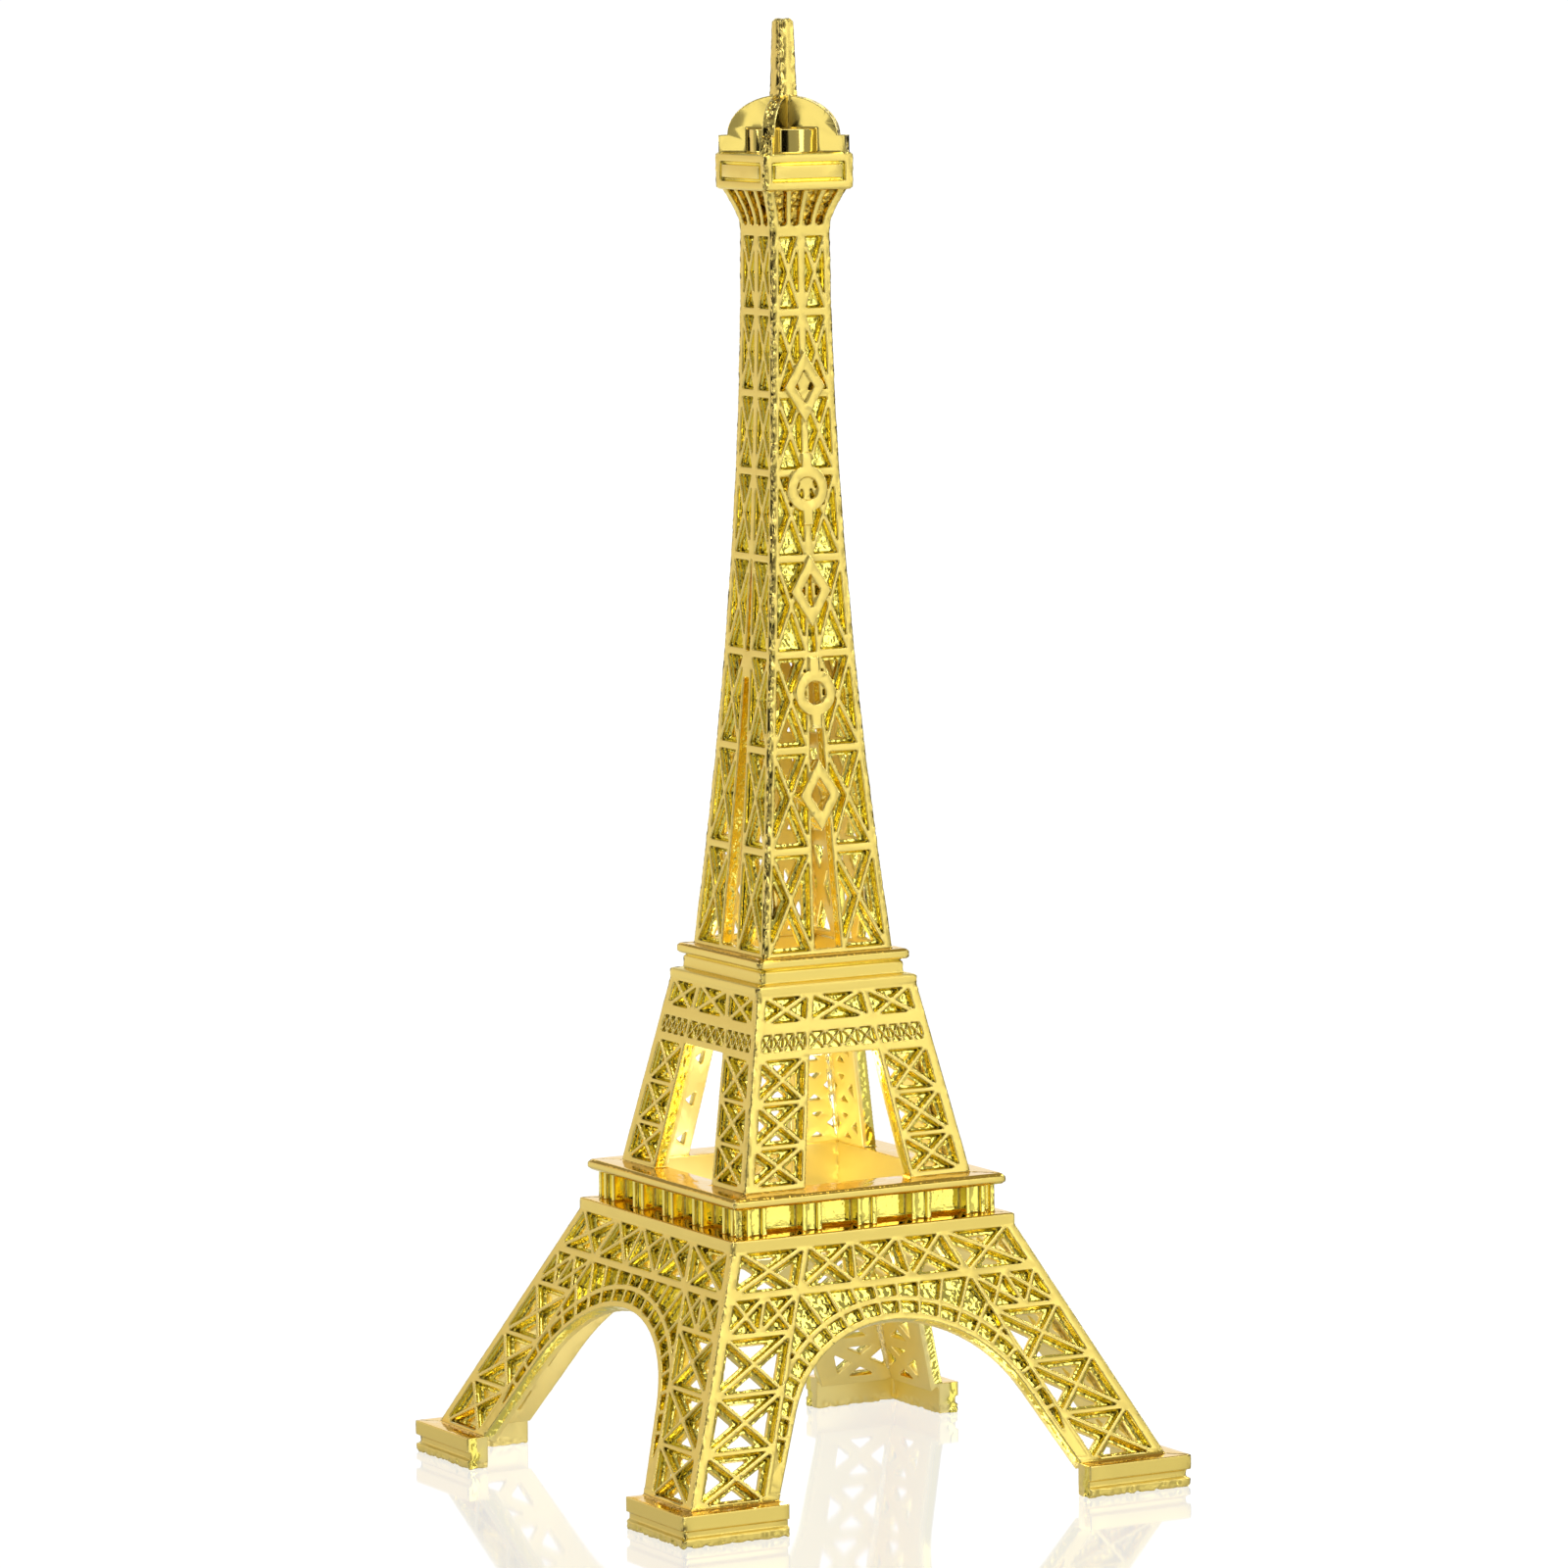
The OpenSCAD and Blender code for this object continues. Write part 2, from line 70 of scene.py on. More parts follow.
# Bands of height with eased ends: where each begins and is full, and where it fades and is over.
TRELLIS = ((54.2, 54.4), (57.6, 57.8))    # the fine trellis over the windows
FLUTES = ((154.8, 155.2), (159.0, 159.3))  # the hollows up the neck
TRELLIS_RAIL_TOP = 58.2

# Depths behind the tower's outside, in millimetres.
HOLLOW = 0.45        # where the hollows between the bars begin
PLATE = 1.15         # just behind the back plate's face, which is the floor of the hollows
INSIDE = 1.2         # from here inwards the surface counts as the inside of the wall


# ---- Camera ----
def make_camera():
    """The viewpoint: a metre away, in front and to the left, a little higher than the spire's tip."""
    around = math.radians(-29.128)
    above = math.radians(6.352)
    roll = math.radians(-0.625)
    distance = 0.9857
    aim = Vector((0, 0, 0.0885))
    level = math.cos(above)
    back = Vector((math.sin(around) * level, -math.cos(around) * level, math.sin(above)))
    data = bpy.data.cameras.new("camera")
    data.lens = 183.4
    data.sensor_width = 36
    data.shift_x = -0.0042
    data.shift_y = -0.0136
    data.clip_start = 0.01
    camera = bpy.data.objects.new("camera", data)
    camera.location = aim + back * distance
    camera.rotation_mode = "QUATERNION"
    camera.rotation_quaternion = Quaternion(back, roll) @ back.to_track_quat("Z", "Y")
    bpy.context.scene.collection.objects.link(camera)
    bpy.context.scene.camera = camera


# ---- Numbers on meshes ----
def read_points(mesh):
    points = np.empty(len(mesh.vertices) * 3)
    mesh.vertices.foreach_get("co", points)
    return points.reshape(-1, 3)


def write_points(mesh, points):
    mesh.vertices.foreach_set("co", points.ravel())
    mesh.update()


def read_edges(mesh):
    edges = np.empty(len(mesh.edges) * 2, np.int64)
    mesh.edges.foreach_get("vertices", edges)
    return edges.reshape(-1, 2)


def read_normals(mesh):
    normals = np.empty(len(mesh.vertices) * 3)
    mesh.vertex_normals.foreach_get("vector", normals)
    return normals.reshape(-1, 3)


def lattice_noise(points, size, seed):
    """Smooth noise between -1 and 1 whose lumps are about one size across."""
    cell = points / size
    base = np.floor(cell).astype(np.int64)
    part = cell - base
    part = part * part * (3.0 - 2.0 * part)
    total = np.zeros(len(points))
    for corner in range(8):
        step = np.array([corner & 1, (corner >> 1) & 1, (corner >> 2) & 1])
        weight = np.prod(np.where(step, part, 1.0 - part), axis=1)
        at = base + step
        mixed = at[:, 0] * 73856093 ^ at[:, 1] * 19349663 ^ at[:, 2] * 83492791 ^ seed * 26544357
        mixed = (mixed ^ (mixed >> 13)) * 1274126177
        mixed = (mixed ^ (mixed >> 16)) & 0xFFFF
        total += weight * mixed / 65535.0
    return total * 2.0 - 1.0


def ramp(value, low, high):
    """0 at low, 1 at high, eased between them."""
    t = np.clip((value - low) / (high - low), 0.0, 1.0)
    return t * t * (3.0 - 2.0 * t)


def within(z, band):
    """1 inside a band of heights, eased at its ends."""
    begins, fades = band
    return ramp(z, *begins) * (1.0 - ramp(z, *fades))


def relax(points, edges, rounds):
    """Rounds sharp edges off without shrinking the whole."""
    count = np.bincount(edges.ravel(), minlength=len(points))[:, None]
    for step in range(rounds * 2):
        total = np.zeros_like(points)
        for axis in range(3):
            ahead = np.bincount(edges[:, 0], points[edges[:, 1], axis], len(points))
            behind = np.bincount(edges[:, 1], points[edges[:, 0], axis], len(points))
            total[:, axis] = ahead + behind
        pull = 0.55 if step % 2 == 0 else -0.4
        points = points + pull * (total / count - points)
    return points


# ---- The cast panels ----
def welded_copy(node):
    """A panel's CAD mesh, with its faces joined along their edges."""
    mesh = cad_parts[node].data.copy()
    bm = bmesh.new()
    bm.from_mesh(mesh)
    bmesh.ops.remove_doubles(bm, verts=bm.verts, dist=2e-7)
    return mesh, bm


def extend_past_mitre(bm, turn):
    """Pushes the two mitre faces outwards, so that rounding the edges leaves the mitres sharp."""
    spare = 0.8
    for side in (-1, 1):
        outwards = turn @ Vector((side, 1, 0)).normalized()
        faces = [f for f in bm.faces if f.normal.dot(outwards) > 0.9999]
        faces = [f for f in faces if abs(f.calc_center_median().dot(outwards)) < 2e-5]
        grown = bmesh.ops.extrude_face_region(bm, geom=faces)
        moved = [v for v in grown["geom"] if isinstance(v, bmesh.types.BMVert)]
        bmesh.ops.translate(bm, verts=moved, vec=outwards * spare * MM)
        bmesh.ops.delete(bm, geom=faces, context="FACES")


def evaluated(mesh, kind, **settings):
    """The mesh with one modifier applied."""
    holder = bpy.data.objects.new("holder", mesh)
    bpy.context.scene.collection.objects.link(holder)
    modifier = holder.modifiers.new("step", kind)
    for key, value in settings.items():
        setattr(modifier, key, value)
    graph = bpy.context.evaluated_depsgraph_get()
    made = bpy.data.meshes.new_from_object(holder.evaluated_get(graph))
    bpy.data.objects.remove(holder)
    return made


def measure_skin(points):
    """The tower's outside, as heights and half widths: the outermost point of a panel at each level."""
    spacing = 0.15 * MM
    level = (points[:, 2] / spacing).astype(np.int64)
    order = np.lexsort((-points[:, 1], level))
    last = np.append(level[order][1:] != level[order][:-1], True)
    outermost = points[order[last]]
    return np.array([outermost[:, 2], -outermost[:, 1]])


def depth_below_skin(points, skin):
    """How far each point of the front panel lies behind the outside of the tower, in millimetres."""
    depth = np.interp(points[:, 2], skin[0], skin[1]) + points[:, 1]
    return np.maximum(depth / MM, 0.0)


def fill_trellis(points, skin):
    """Brings the floors of the fine trellis over the windows forward, because those hollows are shallow."""
    z = points[:, 2] / MM
    depth = depth_below_skin(points, skin)
    bars = 0.2
    raised = 0.68
    deep = np.maximum(depth - bars, 0.0) * (depth < PLATE)
    points[:, 1] -= within(z, TRELLIS) * deep * raised * MM
    return points


def make_wedge():
    """The quarter of the tower's box that belongs to the front panel, between its two mitre planes."""
    reach = -cad_low[1]
    outline = [(0, 0), (-reach, -reach), (reach, -reach)]
    verts = [(x, y, z) for z in (cad_low[2], cad_high[2]) for x, y in outline]
    mesh = bpy.data.meshes.new("wedge")
    mesh.from_pydata(verts, [], [(2, 1, 0), (3, 4, 5), (0, 1, 4, 3), (1, 2, 5, 4), (2, 0, 3, 5)])
    wedge = bpy.data.objects.new("wedge", mesh)
    bpy.context.scene.collection.objects.link(wedge)
    return wedge


def seam_strength(points, rough_side):
    """1 at the mitres where the joint was left rough, 0 elsewhere. One side of a panel is rougher."""
    near = (-points[:, 1] - np.abs(points[:, 0])) / math.sqrt(2) / MM
    z = points[:, 2] / MM
    edge = np.where(z > CROWN, 1.0 - ramp(near, 0.3, 0.75), 1.0 - ramp(near, 0.12, 0.5))
    platform = (z > CORNICE_TOP - 1.9) & (z < PLATFORM_TOP + 0.4)
    rough = 0.3 + 0.7 * ramp(z, WAIST_TOP - 5.8, WAIST_TOP - 3.8)
    rough = np.maximum(rough, 1.0 - ramp(z, FEET_TOP - 2.0, FEET_TOP + 1.0))
    rough = np.maximum(rough, platform * 0.75)
    return edge * rough * np.where(points[:, 0] * rough_side > 0, 1.0, 0.3)


def below_crown(points):
    """1 on the lattice, the neck and the cap, 0 on the smooth drum, fins and spire."""
    return 1.0 - ramp(points[:, 2] / MM, CROWN - 0.05, CROWN + 0.05)


def in_flutes(points, depth):
    """1 in the hollows up the neck, which the casting left rougher than the rest."""
    return within(points[:, 2] / MM, FLUTES) * ramp(depth, 0.3, 0.6) * (depth < 1.4)


def on_pier_wall(points, normals):
    """The wall behind the first platform's piers, which lies deep but faces outwards."""
    z = points[:, 2] / MM
    return (z > PIERS_FOOT) & (z < PIERS_TOP) & (normals[:, 1] < -0.4)


def on_deck(points, normals):
    """The tops of the feet, the mouldings and the two platforms."""
    z = points[:, 2] / MM
    deck = np.zeros(len(z), bool)
    near = 0.35
    for top in DECKS:
        deck |= (np.abs(z - top) < near) & (normals[:, 2] > 0.5)
    return deck


def bend_at(mesh, points, edges):
    """Curvature at each vertex, per millimetre: above 0 in a crevice, below 0 along a ridge."""
    normals = read_normals(mesh)
    first = edges[:, 0]
    second = edges[:, 1]
    along = points[second] - points[first]
    square = np.maximum((along ** 2).sum(axis=1), 1e-13)
    rise = (along * normals[first]).sum(axis=1) / square
    fall = -(along * normals[second]).sum(axis=1) / square
    size = len(points)
    count = np.bincount(edges.ravel(), minlength=size)
    bend = (np.bincount(first, rise, size) + np.bincount(second, fall, size)) / count
    spread = (np.bincount(first, bend[second], size) + np.bincount(second, bend[first], size)) / count
    return (bend + spread) * MM


def cast_surface(points, normals, skin, rough_side, seed):
    """Pits in the hollows, lumps along the mitres and under the feet, a faint waviness all over."""
    z = points[:, 2] / MM
    depth = depth_below_skin(points, skin)
    hollow = ramp(depth, HOLLOW, HOLLOW + 0.35) * (1.0 - ramp(depth, PLATE, PLATE + 0.3))
    hollow *= below_crown(points)
    hollow *= 1.0 - 0.6 * ((z > CORNICE_TOP - 0.4) & (z < PLATFORM_TOP + 0.3))
    fine = lattice_noise(points, 0.42 * MM, seed)
    finer = lattice_noise(points, 0.24 * MM, seed + 1)
    broad = lattice_noise(points, 2.6 * MM, seed + 2)
    lumps = lattice_noise(points, 0.7 * MM, seed + 3)
    under = 1.0 - ramp(z, 0.5, 1.3)
    push = hollow * (0.055 * fine + 0.03 * finer)
    push += in_flutes(points, depth) * (0.09 * fine + 0.05 * lumps)
    push += 0.01 * broad
    push += seam_strength(points, rough_side) * (0.15 * lumps + 0.12 * fine - 0.09)
    push += under * (0.14 * lumps + 0.08 * fine - 0.06)
    return points + normals * push[:, None] * MM


def voxel_mesh(node, turn):
    """A panel's CAD solid, turned to the front and remade as small even faces."""
    mesh, bm = welded_copy(node)
    extend_past_mitre(bm, turn)
    bm.to_mesh(mesh)
    bm.free()
    mesh.transform(turn.inverted())
    voxel = VOXEL
    return evaluated(mesh, "REMESH", mode="VOXEL", voxel_size=voxel * MM)


def cast_mesh(made, skin, rough_side, seed):
    """Gives a voxel mesh the softened edges and the skin of a casting, mitres it and thins it out."""
    points = relax(read_points(made), read_edges(made), 1)
    points = fill_trellis(points, skin)
    write_points(made, points)
    points = cast_surface(points, read_normals(made), skin, rough_side, seed)
    write_points(made, points)
    wedge = make_wedge()
    made = evaluated(made, "BOOLEAN", operation="INTERSECT", solver="MANIFOLD", object=wedge)
    bpy.data.objects.remove(wedge)
    corners = sum(len(polygon.vertices) - 2 for polygon in made.polygons)
    made = evaluated(made, "DECIMATE", ratio=min(1.0, TRIANGLES / corners))
    write_points(made, np.clip(read_points(made), np.array(cad_low), np.array(cad_high)))
    made.validate()
    return made


def store(mesh, name, values):
    layer = mesh.attributes.new(name, "FLOAT", "POINT")
    layer.data.foreach_set("value", values.astype(np.float32))


def mark_mesh(mesh, skin, rough_side):
    """Stores where the hollows, the insides, the seams and the crevices are, for the material."""
    points = read_points(mesh)
    normals = read_normals(mesh)
    depth = depth_below_skin(points, skin)
    lattice = below_crown(points)
    deck = on_deck(points, normals)
    outer = on_pier_wall(points, normals) | deck
    inside = ramp(depth, INSIDE, INSIDE + 0.3) * ~outer * lattice
    flutes = in_flutes(points, depth)
    bend = bend_at(mesh, points, read_edges(mesh))
    store(mesh, "hollow", np.maximum(ramp(depth, 0.06, 0.3), outer) * lattice)
    store(mesh, "inside", inside)
    # Painted reflection and shade: the deck tops and the flutes are marked for a deep orange tint that
    # stands in for gold reflected in gold.
    store(mesh, "painted_gold_reflection", np.maximum(0.65 * flutes, 0.85 * deck))
    wide = np.maximum(np.abs(points[:, 0]), np.abs(points[:, 1])) / MM
    store(mesh, "crown", (1.0 - lattice) * ramp(wide, 1.35, 1.5))
    seam = seam_strength(points, rough_side) * (1.0 - inside)
    store(mesh, "seam", np.maximum(seam, 0.8 * flutes))
    trellis = (points[:, 2] > TRELLIS[0][0] * MM) & (points[:, 2] < TRELLIS_RAIL_TOP * MM)
    # Crease marks the crevices, which the material darkens with painted shade.
    store(mesh, "crease", ramp(bend, 0.95, 3.0) * (1.0 - 0.4 * trellis))
    # Ridge marks the ridges, which the material paints with highlights and makes glossier.
    store(mesh, "ridge", ramp(-bend, 0.8, 3.0))


def make_panels(gold):
    """Four panels from two castings. The plain pair is made first: the tower's outside is measured on it."""
    skin = None
    for pair, first, rough_side, seed in ((("right", "left"), 90, 1, 47), (("front", "back"), 0, -1, 11)):
        made = voxel_mesh("panel_" + pair[0], Matrix.Rotation(math.radians(first), 4, "Z"))
        if skin is None:
            skin = measure_skin(read_points(made))
        mesh = cast_mesh(made, skin, rough_side, seed)
        mark_mesh(mesh, skin, rough_side)
        mesh.polygons.foreach_set("use_smooth", np.ones(len(mesh.polygons), bool))
        mesh.materials.clear()
        mesh.materials.append(gold)
        for step, side in enumerate(pair):
            own = mesh.copy()
            own.name = "cast_panel_" + side
            own.transform(Matrix.Rotation(math.radians(first + 180 * step), 4, "Z"))
            panel = bpy.data.objects.new("cast_panel_" + side, own)
            bpy.context.scene.collection.objects.link(panel)
            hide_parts("panel_" + side)
            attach(panel, "root")


# ---- Solder ----
QUARTERS = {"front_left": 0, "front_right": 90, "back_right": 180, "back_left": 270}


def bead_mesh(name, corners, seed):
    """A lumpy fillet down an inside corner: its section is a hollow quarter round of changing size."""
    z = corners[:, 2]
    low = z.min()
    high = z.max()
    foot = corners[z < low + 0.01 * MM].min(axis=0)
    head = corners[z > high - 0.01 * MM].min(axis=0)
    reach = np.ptp(corners[z < low + 0.01 * MM][:, 0])
    spacing = 0.2 * MM
    count = int((high - low) / spacing) + 1
    overlap = 0.03 * MM  # into the wall
    arc = 9
    verts = []
    for ring in range(count):
        share = ring / (count - 1)
        corner = foot + (head - foot) * share
        spots = np.array([[0.0, 0.0, corner[2]], [0.02, 0.0, corner[2]]])
        widths = lattice_noise(spots, 1.7 * MM, seed)
        taper = math.sqrt(min(1.0, 0.15 + 4.0 * min(share, 1.0 - share)))
        across = reach * (0.76 + 0.22 * widths[0]) * taper
        along = reach * (0.76 + 0.22 * widths[1]) * taper
        verts.append((corner[0] - overlap, corner[1] - overlap, corner[2]))
        for step in range(arc):
            angle = math.pi / 2 * step / (arc - 1)
            x = corner[0] + across * (1.0 - math.sin(angle))
            y = corner[1] + along * (1.0 - math.cos(angle))
            verts.append((x, y, corner[2]))
    points = np.array(verts)
    lump = lattice_noise(points, 0.5 * MM, seed + 1) * 0.05 * MM
    points[:, 0] += lump
    points[:, 1] += lump
    size = arc + 1
    faces = [list(range(size))[::-1], [(count - 1) * size + k for k in range(size)]]
    for ring in range(count - 1):
        for k in range(size):
            a = ring * size + k
            b = ring * size + (k + 1) % size
            faces.append([a, b, b + size, a + size])
    mesh = bpy.data.meshes.new(name)
    mesh.from_pydata(points.tolist(), [], faces)
    mesh.update()
    return mesh


def make_beads(solder):
    """One lumpy bead in place of each CAD bead, of the same length."""
    names = [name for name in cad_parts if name.startswith("solder")]
    for order, name in enumerate(sorted(names)):
        quarter = name.split("_", 2)[2]
        turn = Matrix.Rotation(math.radians(QUARTERS[quarter]), 4, "Z")
        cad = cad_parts[name].data.copy()
        cad.transform(turn.inverted())
        mesh = bead_mesh("lumpy_" + name, read_points(cad), 300 + 7 * order)
        mesh.transform(turn)
        mesh.polygons.foreach_set("use_smooth", np.ones(len(mesh.polygons), bool))
        mesh.materials.append(solder)
        bead = bpy.data.objects.new("lumpy_" + name, mesh)
        bpy.context.scene.collection.objects.link(bead)
        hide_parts(name)
        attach(bead, "root")


# ---- Materials ----
def new_material(name):
    material = bpy.data.materials.new(name)
    material.use_nodes = True
    nodes = material.node_tree.nodes
    return material, nodes, material.node_tree.links, nodes["Principled BSDF"]


def attribute(nodes, name):
    node = nodes.new("ShaderNodeAttribute")
    node.attribute_name = name
    return node.outputs["Fac"]


def blend_colour(nodes, links, factor, first, second):
    """Mixes two colours; either may be a colour or another node's output."""
    mix = nodes.new("ShaderNodeMix")
    mix.data_type = "RGBA"
    links.new(factor, mix.inputs["Factor"])
    for socket, value in ((mix.inputs["A"], first), (mix.inputs["B"], second)):
        if isinstance(value, tuple):
            socket.default_value = value
        else:
            links.new(value, socket)
    return mix.outputs["Result"]


def blend_value(nodes, links, factor, first, second):
    mix = nodes.new("ShaderNodeMix")
    mix.data_type = "FLOAT"
    links.new(factor, mix.inputs["Factor"])
    for socket, value in ((mix.inputs["A"], first), (mix.inputs["B"], second)):
        if isinstance(value, float):
            socket.default_value = value
        else:
            links.new(value, socket)
    return mix.outputs["Result"]


def noise(nodes, links, scale, detail):
    where = nodes.new("ShaderNodeTexCoord")
    texture = nodes.new("ShaderNodeTexNoise")
    texture.inputs["Scale"].default_value = scale
    texture.inputs["Detail"].default_value = detail
    links.new(where.outputs["Object"], texture.inputs["Vector"])
    return texture.outputs["Fac"]


def stretched(nodes, links, value, low, high, to_low, to_high):
    node = nodes.new("ShaderNodeMapRange")
    node.inputs["From Min"].default_value = low
    node.inputs["From Max"].default_value = high
    node.inputs["To Min"].default_value = to_low
    node.inputs["To Max"].default_value = to_high
    links.new(value, node.inputs["Value"])
    return node.outputs["Result"]


def make_gold():
    """Satin on the flats, mirror-bright in the hollows, pale inside, with painted shade in the crevices,
    painted highlights on the ridges and a painted orange reflection on the deck tops and in the flutes.
    """
    material, nodes, links, shader = new_material("gold_plate")
    shader.inputs["Metallic"].default_value = 1.0
    hollow = attribute(nodes, "hollow")
    inside = attribute(nodes, "inside")
    crown = attribute(nodes, "crown")
    seam = attribute(nodes, "seam")
    crease = attribute(nodes, "crease")
    ridge = attribute(nodes, "ridge")

    satin = (0.95, 0.745, 0.19, 1)
    bright = (1.0, 0.85, 0.17, 1)
    reflected_orange = (0.77, 0.39, 0.035, 1)
    pale = (1.0, 0.85, 0.34, 1)
    ridge_highlight_colour = (1.0, 0.87, 0.36, 1)
    crease_shade_colour = (0.07, 0.042, 0.008, 1)
    burn = (0.12, 0.07, 0.015, 1)
    tone = blend_colour(nodes, links, hollow, satin, bright)
    # Painted reflection and shade: the deck tops and the flutes up the neck are tinted deep orange, standing
    # in for gold reflected in gold.
    painted_gold_reflection = stretched(nodes, links, attribute(nodes, "painted_gold_reflection"), 0, 1, 0, 0.8)
    tone = blend_colour(nodes, links, painted_gold_reflection, tone, reflected_orange)
    tone = blend_colour(nodes, links, inside, tone, pale)
    # Painted highlight: the ridges are paled towards light gold, standing in for the glints along bar and
    # window edges.
    ridge_highlight = stretched(nodes, links, ridge, 0, 1, 0, 0.5)
    tone = blend_colour(nodes, links, ridge_highlight, tone, ridge_highlight_colour)
    # Painted shade: the crevices are darkened to near-black brown, in noisy patches, except on the inside of
    # the walls.
    crease_shade_patches = stretched(nodes, links, noise(nodes, links, 1300, 2), 0.35, 0.6, 0.65, 0.98)
    dark = nodes.new("ShaderNodeMath")
    dark.operation = "MULTIPLY"
    links.new(crease, dark.inputs[0])
    links.new(crease_shade_patches, dark.inputs[1])
    dark = blend_value(nodes, links, inside, dark.outputs["Value"], 0.0)
    tone = blend_colour(nodes, links, dark, tone, crease_shade_colour)
    burnt = nodes.new("ShaderNodeMath")
    burnt.operation = "MULTIPLY"
    links.new(seam, burnt.inputs[0])
    links.new(stretched(nodes, links, noise(nodes, links, 1900, 3), 0.48, 0.6, 0, 0.8), burnt.inputs[1])
    tone = blend_colour(nodes, links, burnt.outputs["Value"], tone, burn)
    links.new(tone, shader.inputs["Base Color"])

    gloss = stretched(nodes, links, hollow, 0, 1, 0.36, 0.07)
    gloss = blend_value(nodes, links, stretched(nodes, links, ridge, 0, 1, 0, 0.8), gloss, 0.16)
    gloss = blend_value(nodes, links, seam, gloss, 0.14)
    gloss = blend_value(nodes, links, inside, gloss, 0.46)
    gloss = blend_value(nodes, links, crown, gloss, 0.13)
    links.new(gloss, shader.inputs["Roughness"])

    bump = nodes.new("ShaderNodeBump")
    bump.inputs["Distance"].default_value = 0.00006
    amount = stretched(nodes, links, hollow, 0, 1, 0.04, 0.5)
    amount = blend_value(nodes, links, inside, amount, 0.12)
    links.new(amount, bump.inputs["Strength"])
    links.new(noise(nodes, links, 1500, 2), bump.inputs["Height"])
    links.new(bump.outputs["Normal"], shader.inputs["Normal"])
    return material


def make_solder():
    """Bright, runny tin under the same plating, a little cloudy in places."""
    material, nodes, links, shader = new_material("plated_solder")
    shader.inputs["Metallic"].default_value = 1.0
    clouds = noise(nodes, links, 900, 3)
    patches = stretched(nodes, links, clouds, 0.4, 0.65, 0, 1)
    tone = blend_colour(nodes, links, patches, (1.0, 0.90, 0.52, 1), (0.93, 0.74, 0.26, 1))
    links.new(tone, shader.inputs["Base Color"])
    links.new(stretched(nodes, links, clouds, 0.35, 0.65, 0.18, 0.42), shader.inputs["Roughness"])
    bump = nodes.new("ShaderNodeBump")
    bump.inputs["Distance"].default_value = 0.00005
    bump.inputs["Strength"].default_value = 0.4
    links.new(clouds, bump.inputs["Height"])
    links.new(bump.outputs["Normal"], shader.inputs["Normal"])
    return material


# ---- Stage ----
def make_floor():
    """A glossy white floor, which throws less light back close to the tower than farther off: a painted
    contact shadow, dimmed for all but camera rays, that shows only in reflections.
    """
    bpy.ops.mesh.primitive_circle_add(vertices=96, radius=1.8, fill_type="NGON")
    floor = bpy.context.active_object
    floor.name = "floor"
    material = bpy.data.materials.new("floor")
    material.use_nodes = True
    nodes = material.node_tree.nodes
    links = material.node_tree.links
    nodes.clear()
    out = nodes.new("ShaderNodeOutputMaterial")
    mix = nodes.new("ShaderNodeMixShader")
    mix.inputs["Fac"].default_value = 0.36
    white = nodes.new("ShaderNodeEmission")
    white.inputs["Color"].default_value = (1, 1, 1, 1)
    where = nodes.new("ShaderNodeTexCoord")
    away = nodes.new("ShaderNodeVectorMath")
    away.operation = "LENGTH"
    links.new(where.outputs["Object"], away.inputs[0])
    # Painted shadow: for all but camera rays, the floor's glow fades from 1.0 far off to 0.5 close to the
    # tower.
    shade = stretched(nodes, links, away.outputs["Value"], 0.04, 0.35, 0.5, 1.0)
    path = nodes.new("ShaderNodeLightPath")
    strength = blend_value(nodes, links, path.outputs["Is Camera Ray"], shade, 1.1)
    links.new(strength, white.inputs["Strength"])
    gloss = nodes.new("ShaderNodeBsdfGlossy")
    gloss.inputs["Roughness"].default_value = 0.06
    gloss.inputs["Color"].default_value = (1, 1, 1, 1)
    links.new(white.outputs[0], mix.inputs[1])
    links.new(gloss.outputs[0], mix.inputs[2])
    links.new(mix.outputs[0], out.inputs["Surface"])
    floor.data.materials.append(material)


def make_world():
    """White behind the tower, and a dim even light from all round."""
    world = bpy.data.worlds.new("studio")
    bpy.context.scene.world = world
    world.use_nodes = True
    nodes = world.node_tree.nodes
    links = world.node_tree.links
    nodes.clear()
    out = nodes.new("ShaderNodeOutputWorld")
    path = nodes.new("ShaderNodeLightPath")
    mix = nodes.new("ShaderNodeMixShader")
    dim = nodes.new("ShaderNodeBackground")
    dim.inputs["Color"].default_value = (1, 1, 1, 1)
    dim.inputs["Strength"].default_value = 0.33
    bright = nodes.new("ShaderNodeBackground")
    bright.inputs["Color"].default_value = (1, 1, 1, 1)
    bright.inputs["Strength"].default_value = 1.05
    links.new(path.outputs["Is Camera Ray"], mix.inputs["Fac"])
    links.new(dim.outputs[0], mix.inputs[1])
    links.new(bright.outputs[0], mix.inputs[2])
    links.new(mix.outputs[0], out.inputs["Surface"])


def toward(around, above):
    """The direction of a compass point: 0 is in front of the front panel and 90 is to its right."""
    a = math.radians(around)
    e = math.radians(above)
    return Vector((math.sin(a) * math.cos(e), -math.cos(a) * math.cos(e), math.sin(e)))


def softbox(name, around, above, distance, width, height, radiance, tint=(1, 1, 1)):
    """A rectangular light that faces the tower."""
    away = toward(around, above)
    data = bpy.data.lights.new(name, "AREA")
    data.shape = "RECTANGLE"
    data.size = width
    data.size_y = height
    data.energy = radiance * width * height * math.pi
    data.color = tint
    light = bpy.data.objects.new(name, data)
    light.location = MIDDLE + away * distance
    light.rotation_mode = "QUATERNION"
    light.rotation_quaternion = away.to_track_quat("Z", "Y")
    light.visible_camera = False
    bpy.context.scene.collection.objects.link(light)


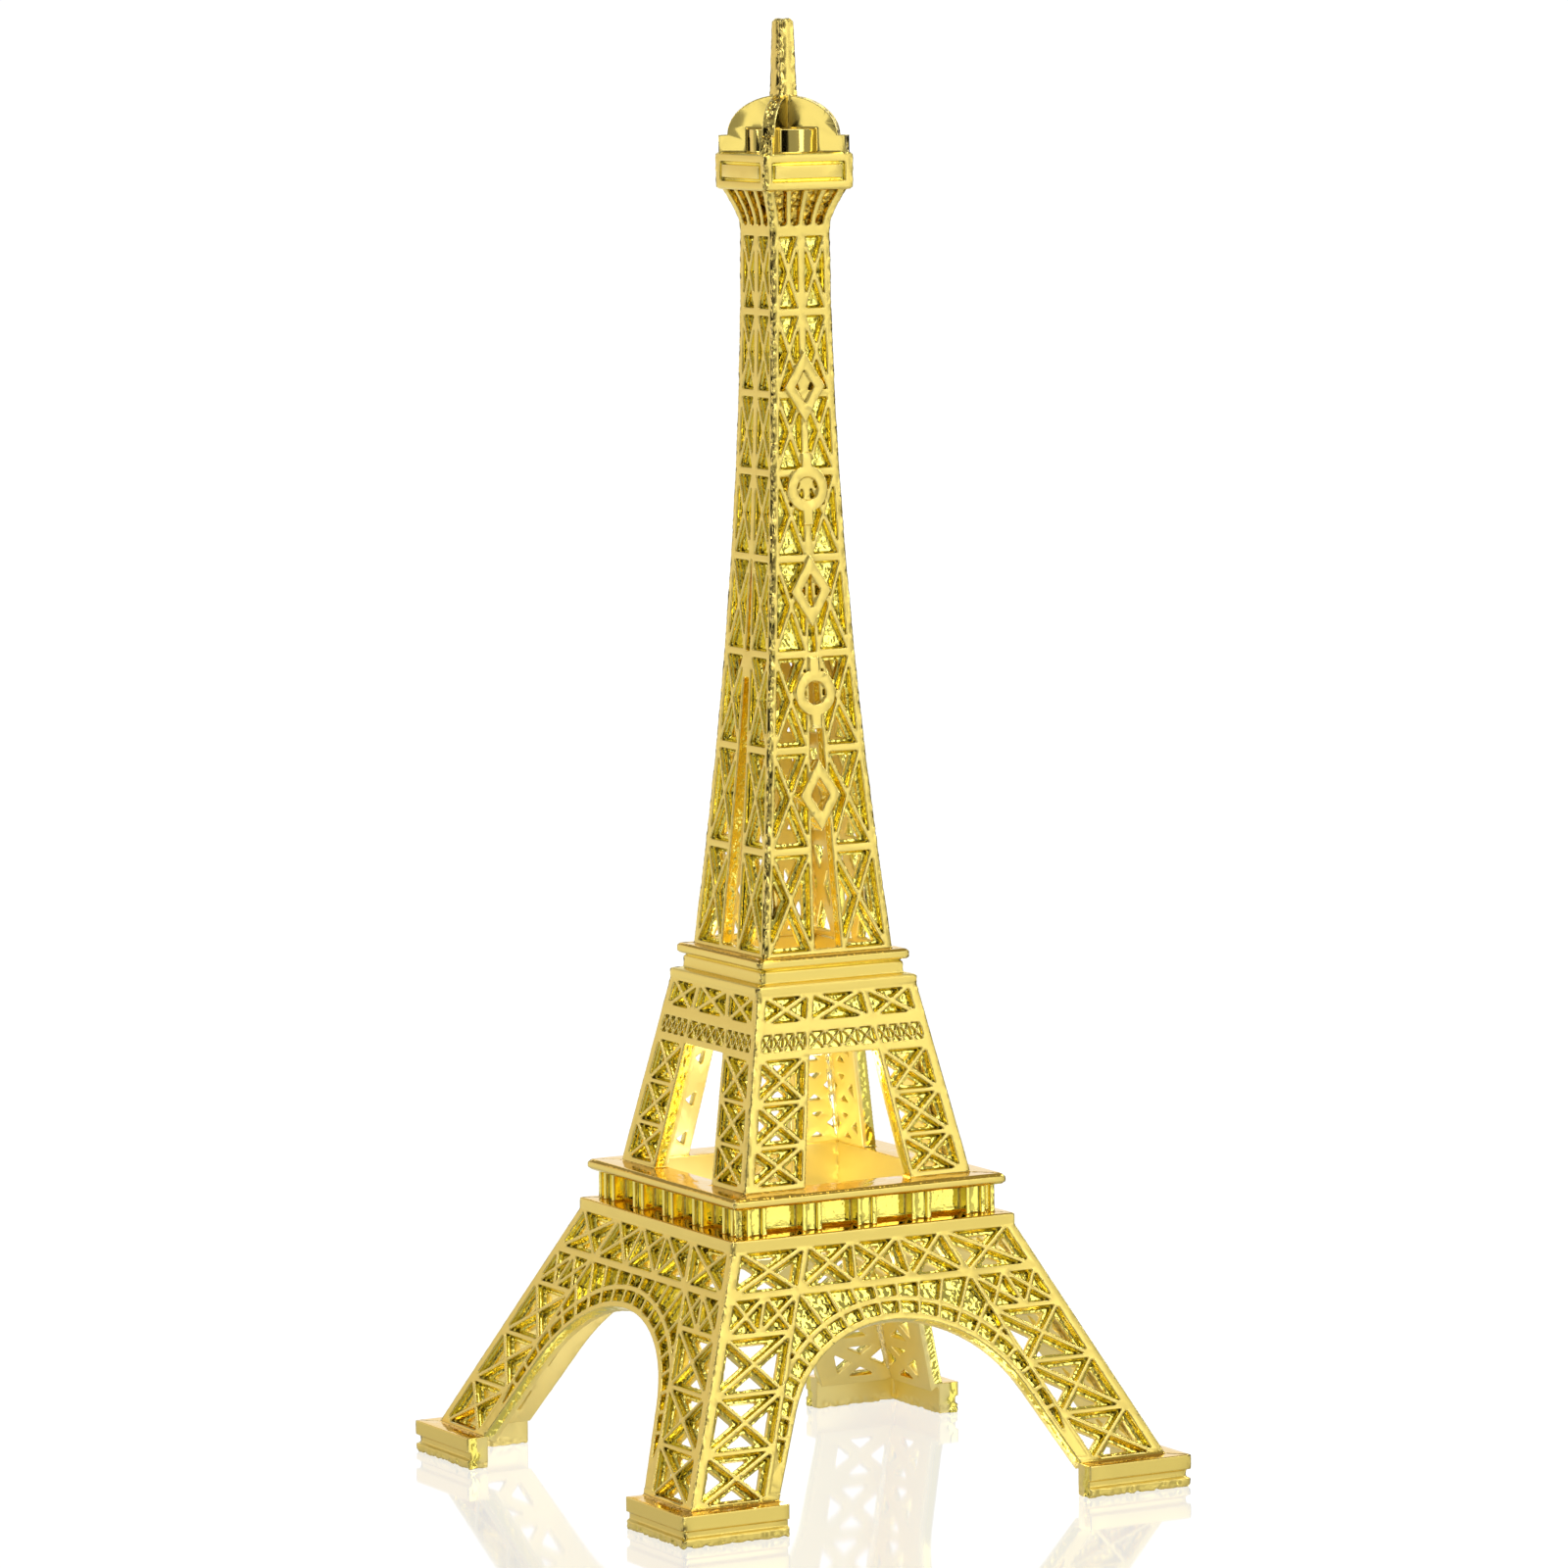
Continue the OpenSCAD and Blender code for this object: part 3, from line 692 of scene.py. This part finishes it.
def card(name, around, above, distance, width, height, radiance):
    """A white or black card that shows only in reflections."""
    away = toward(around, above)
    mesh = bpy.data.meshes.new(name)
    x = width / 2
    y = height / 2
    mesh.from_pydata([(-x, -y, 0), (x, -y, 0), (x, y, 0), (-x, y, 0)], [], [(0, 1, 2, 3)])
    sheet = bpy.data.objects.new(name, mesh)
    sheet.location = MIDDLE + away * distance
    sheet.rotation_mode = "QUATERNION"
    sheet.rotation_quaternion = away.to_track_quat("Z", "Y")
    material = bpy.data.materials.new(name)
    material.use_nodes = True
    nodes = material.node_tree.nodes
    nodes.clear()
    glow = nodes.new("ShaderNodeEmission")
    glow.inputs["Color"].default_value = (1, 1, 1, 1)
    glow.inputs["Strength"].default_value = radiance
    out = nodes.new("ShaderNodeOutputMaterial")
    material.node_tree.links.new(glow.outputs[0], out.inputs["Surface"])
    mesh.materials.append(material)
    bpy.context.scene.collection.objects.link(sheet)
    sheet.visible_camera = False


def lamp_inside(name, height, radius, power):
    """A soft bulb hung inside the tower, which lights the insides of the walls and is never seen itself."""
    data = bpy.data.lights.new(name, "POINT")
    data.shadow_soft_size = radius
    data.energy = power
    light = bpy.data.objects.new(name, data)
    light.location = (0, 0, height)
    light.visible_camera = False
    bpy.context.scene.collection.objects.link(light)


def make_studio():
    softbox("front_right_strip", 26, 22, 1.2, 0.32, 1.0, 1.95)
    softbox("right_strip", 84, 30, 1.2, 0.18, 0.8, 6.0)
    softbox("left_strip", -118, 30, 1.2, 0.16, 0.7, 4.0, (1.0, 0.9, 0.85))
    softbox("left_wall", -151, 4, 1.3, 0.7, 0.9, 0.52, (1.0, 0.85, 0.8))
    softbox("left_front", -60, 4, 1.2, 0.22, 0.6, 0.75)
    softbox("above", 30, 74, 1.2, 0.7, 0.7, 2.2)
    lamp_inside("inside_waist", 0.050, 0.004, 0.0026)
    lamp_inside("inside_legs", 0.022, 0.006, 0.010)
    card("backdrop", 151, 14, 2.2, 2.6, 1.3, 1.05)
    card("dark_right", 98, -2, 0.5, 0.6, 0.24, 0.0)
    card("dark_front", -30, 12, 0.85, 0.36, 0.6, 0.0)
    card("dark_left", -104, 0, 0.6, 0.42, 0.3, 0.0)


def main():
    make_camera()
    gold = make_gold()
    solder = make_solder()
    make_panels(gold)
    make_beads(solder)
    make_floor()
    make_world()
    make_studio()
    bpy.context.scene.view_settings.view_transform = "Standard"
    bpy.context.scene.cycles.max_bounces = 12
    bpy.context.scene.cycles.glossy_bounces = 10


main()
